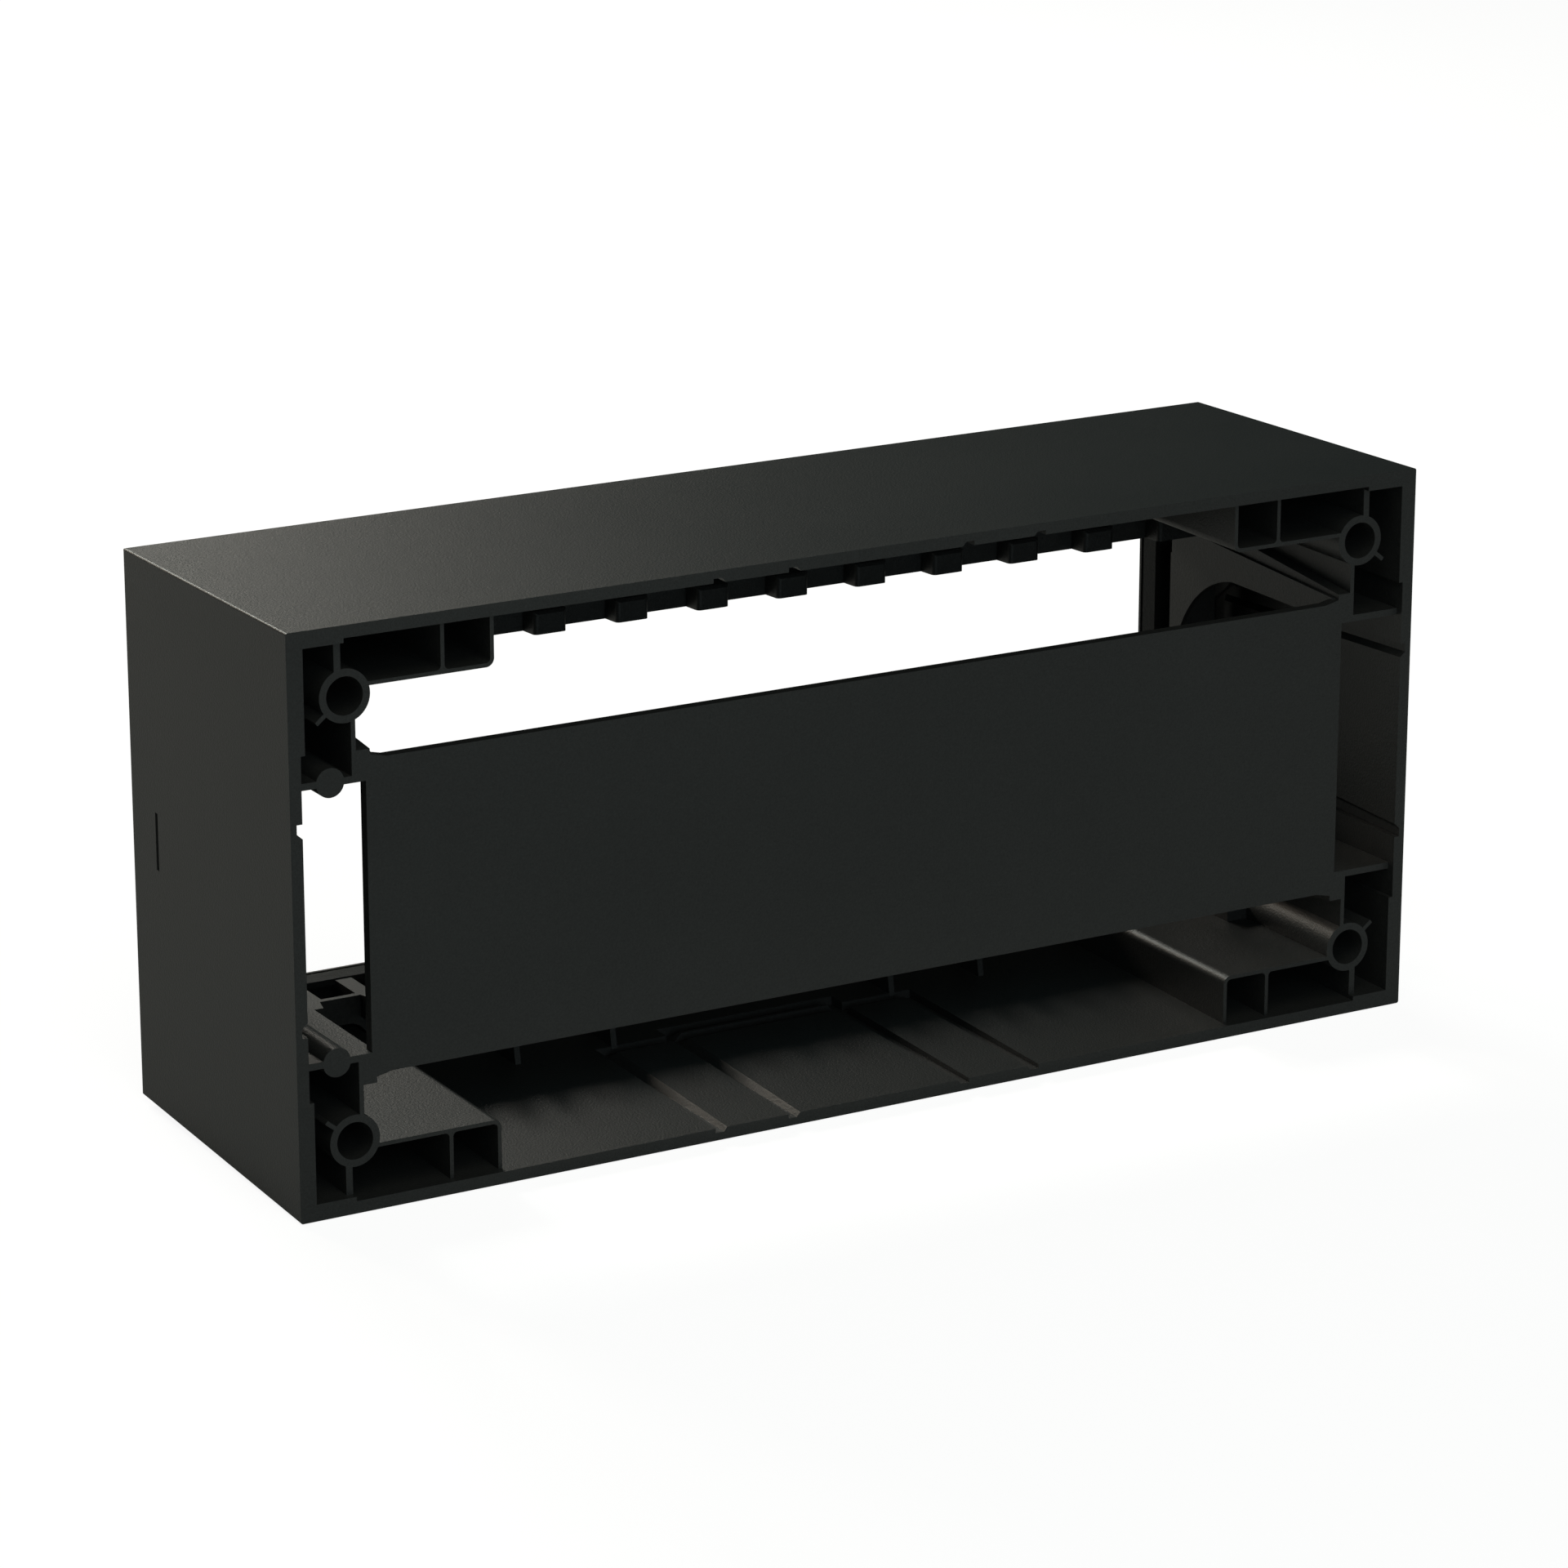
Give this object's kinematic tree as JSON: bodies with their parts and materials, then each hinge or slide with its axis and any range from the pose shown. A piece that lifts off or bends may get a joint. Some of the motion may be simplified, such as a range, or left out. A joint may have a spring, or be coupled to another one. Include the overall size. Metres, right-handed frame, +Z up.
{
  "type": "moulded enclosure housing",
  "caption": "Open-backed rectangular plastic housing with a framed front window, corner screw bosses, a bridge plate across the back and score-line knock-outs.",
  "frame": {"origin": "middle of the bounding box in x and y, at the lowest edge of the bottom wall", "axes": "+X along the width, +Y from the open rim towards the windowed front, +Z up"},
  "size_m": [0.22, 0.0668, 0.1],
  "materials": {
    "black_plastic": "fine moulded grain, satin black"
  },
  "bodies": {
    "root": {"housing": "black_plastic"}
  },
  "joints": []
}
